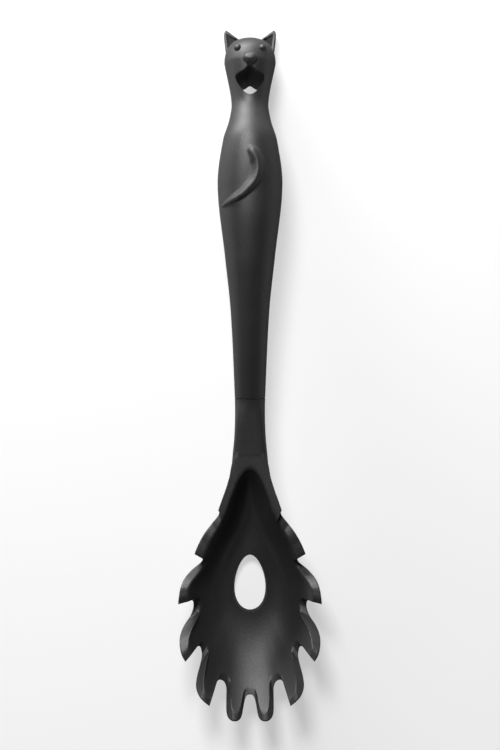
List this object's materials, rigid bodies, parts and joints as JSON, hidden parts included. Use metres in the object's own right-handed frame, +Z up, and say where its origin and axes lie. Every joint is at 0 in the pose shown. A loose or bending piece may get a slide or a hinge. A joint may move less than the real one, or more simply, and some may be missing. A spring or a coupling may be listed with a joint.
{
  "type": "pasta server",
  "caption": "Black pasta server: an oval bowl with hooked teeth round its rim and an egg-shaped drain hole, on a long handle shaped as a sitting cat whose open mouth is the hanging hole.",
  "frame": {"origin": "middle of the part's bounding box, on the surface that it lies on", "axes": "+X to the right as seen from the front, +Y from the front teeth to the cat's head, +Z up from the surface to the viewer: the part lies on its back"},
  "size_m": [0.0646, 0.31, 0.0346],
  "materials": {
    "black_nylon": "matte, fine spark-eroded grain"
  },
  "bodies": {
    "root": {"server_head": "black_nylon", "handle_front": "black_nylon", "handle_back": "black_nylon"}
  },
  "joints": []
}
